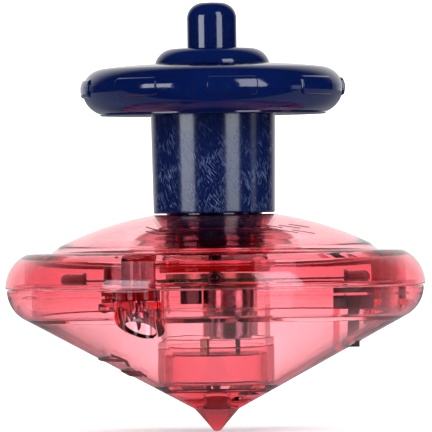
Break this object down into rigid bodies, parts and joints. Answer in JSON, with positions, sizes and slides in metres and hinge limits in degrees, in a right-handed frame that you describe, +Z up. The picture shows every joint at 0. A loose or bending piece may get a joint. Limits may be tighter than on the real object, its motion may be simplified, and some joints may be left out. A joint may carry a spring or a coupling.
{
  "type": "spinning top",
  "caption": "Light-up spinning top with a pointed cone body and domed lid, under a wind-up launcher with a barrel, round grip and release button.",
  "frame": {"origin": "the point of the tip, on the spin axis, at the lowest point of the part", "axes": "+Z up the spin axis to the release button; -Y is the front; the on-off switch is at +X"},
  "size_m": [0.0898, 0.0898, 0.0916],
  "materials": {
    "red_clear": "see-through pink-red moulded plastic, glossy",
    "red_tip": "hard dark red plastic, glossy",
    "navy_plastic": "glossy navy moulded plastic with fine scuffs",
    "clear_plastic": "clear moulded plastic",
    "screw_steel": "zinc-plated steel",
    "spring_steel": "tempered spring steel",
    "cell_steel": "nickel-plated steel",
    "brass": "bare stamped brass",
    "board_green": "solder-masked glass-epoxy",
    "black_plastic": "black moulded plastic",
    "white_acetal": "natural acetal",
    "led_clear": "water-clear epoxy",
    "lead_wire": "tinned lead wire",
    "insulated_wire": "thin red insulation"
  },
  "bodies": {
    "top_body": {"lower_shell": "red_clear", "upper_shell": "red_clear", "light_diffuser": "red_clear", "shell_screws": "screw_steel", "battery_holder": "clear_plastic", "button_cells": "cell_steel", "cell_link": "brass", "top_contact": "brass", "circuit_board": "board_green", "sound_chip": "black_plastic", "buzzer": "brass", "leds": "led_clear", "led_leads": "lead_wire", "slide_switch": "black_plastic", "switch_leads": "insulated_wire", "motion_switch": "black_plastic"},
    "battery_cover": {"battery_cover": "red_clear", "spin_tip": "red_tip", "cover_contact": "brass"},
    "switch_knob": {"switch_knob": "black_plastic"},
    "motion_ball": {"motion_ball": "cell_steel"},
    "spindle": {"drive_shaft": "screw_steel", "drive_claw": "navy_plastic", "claw_screw": "screw_steel", "ratchet_wheel": "white_acetal", "spring_arbor": "white_acetal"},
    "launcher": {"grip_base_plate": "navy_plastic", "grip_shell": "navy_plastic", "grip_screws": "screw_steel", "launcher_barrel": "navy_plastic", "barrel_end_cap": "navy_plastic", "mechanism_plate": "white_acetal", "bearing_bridge": "white_acetal", "pawl_pin": "screw_steel", "pawl_spring": "spring_steel", "mainspring": "spring_steel", "button_return_spring": "spring_steel"},
    "release_button": {"release_button": "navy_plastic"},
    "pawl": {"ratchet_pawl": "white_acetal"}
  },
  "joints": [
    {"name": "launcher_lift", "type": "slide", "parent": "top_body", "child": "spindle", "axis": [0, 0, 1], "range_m": [0, 0.04]},
    {"name": "launcher_turn", "type": "hinge", "parent": "spindle", "child": "launcher", "pos_m": [0, 0, 0.06], "axis": [0, 0, 1], "range_deg": [0, 720]},
    {"name": "button_press", "type": "slide", "parent": "launcher", "child": "release_button", "axis": [0, 0, -1], "range_m": [0, 0.0035], "stiffness_N_per_m": 300, "springref_m": -0.003, "deforming": ["button_return_spring"]},
    {"name": "pawl_release", "type": "hinge", "parent": "launcher", "child": "pawl", "pos_m": [0.0116, 0.006, 0.0723], "axis": [0, 0, 1], "range_deg": [0, 8]},
    {"name": "cover_turn", "type": "hinge", "parent": "top_body", "child": "battery_cover", "pos_m": [0, 0, 0.005], "axis": [0, 0, 1], "range_deg": [0, 90]},
    {"name": "switch_slide", "type": "slide", "parent": "top_body", "child": "switch_knob", "axis": [0, -1, 0], "range_m": [0, 0.002]},
    {"name": "motion_ball_slide", "type": "slide", "parent": "top_body", "child": "motion_ball", "axis": [-1, 0, 0], "range_m": [0, 0.0009]}
  ],
  "couplings": [
    {"joint": "pawl_release", "follows": "button_press", "rad_per_m": 39.893}
  ]
}
